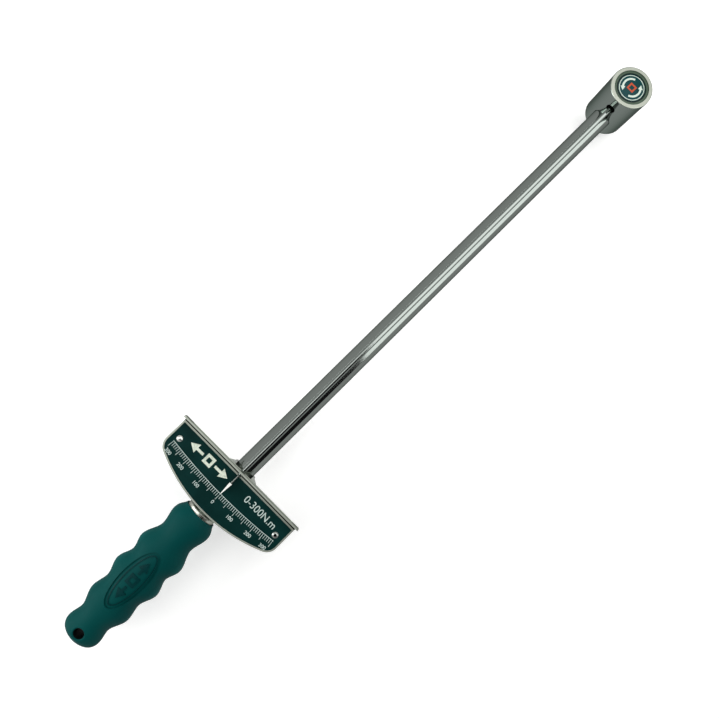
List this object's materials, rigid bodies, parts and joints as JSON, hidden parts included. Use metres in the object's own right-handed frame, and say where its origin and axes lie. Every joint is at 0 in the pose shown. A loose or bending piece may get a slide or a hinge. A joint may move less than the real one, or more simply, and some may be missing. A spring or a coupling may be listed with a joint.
{
  "type": "beam torque wrench",
  "caption": "Beam torque wrench: square-drive head on a round spring-steel beam, pointer rod over a slotted arc scale plate, and a moulded grip with finger grooves.",
  "frame": {"origin": "centre of the square drive's end face", "axes": "+Z out of the head's badge, parallel to the axis of the square; -X along the beam towards the grip; +Y across the scale plate"},
  "size_m": [0.4984, 0.0958, 0.0564],
  "materials": {
    "head_chrome": "polished chrome plate on a forged head",
    "badge_enamel": "glossy printed disc under clear resin",
    "bearing_steel": "ground and polished ball",
    "spring_wire": "drawn spring wire",
    "beam_chrome": "polished chrome plate on a drawn bar",
    "pin_steel": "ground steel, dull",
    "rod_chrome": "polished chrome plate on a thin rod",
    "tip_bright": "dipped white lacquer on brass",
    "plate_chrome": "satin chrome plate on stamped sheet",
    "dial_paint": "dark teal enamel on aluminium sheet",
    "rivet_metal": "bright set rivet",
    "strap_zinc": "zinc plate on bent strip",
    "collar_chrome": "turned and chrome plated",
    "grip_plastic": "fine-textured teal moulding"
  },
  "bodies": {
    "frame": {"head": "head_chrome", "head_badge": "badge_enamel", "detent_spring": "spring_wire", "beam": "beam_chrome", "beam_dowel": "pin_steel", "pointer_root_pin": "pin_steel", "scale_plate": "plate_chrome", "dial_face": "dial_paint", "face_rivet_solid": "rivet_metal", "face_rivet_tubular": "rivet_metal", "saddle_strap": "strap_zinc", "saddle_pin": "pin_steel", "saddle_rivets": "rivet_metal", "grip_collar": "collar_chrome", "grip": "grip_plastic"},
    "pointer": {"pointer_rod": "rod_chrome", "pointer_tip": "tip_bright"},
    "detent": {"detent_ball": "bearing_steel"}
  },
  "joints": [
    {"name": "pointer_swing", "type": "hinge", "parent": "frame", "child": "pointer", "pos_m": [-0.008, 0, 0.0463], "axis": [0, 0, 1], "range_deg": [-6.8, 6.8], "stiffness_Nm_per_rad": 20},
    {"name": "detent_travel", "type": "slide", "parent": "frame", "child": "detent", "axis": [-1, 0, 0], "range_m": [0, 0.0009], "stiffness_N_per_m": 2000, "springref_m": -0.001, "deforming": ["detent_spring"]}
  ]
}
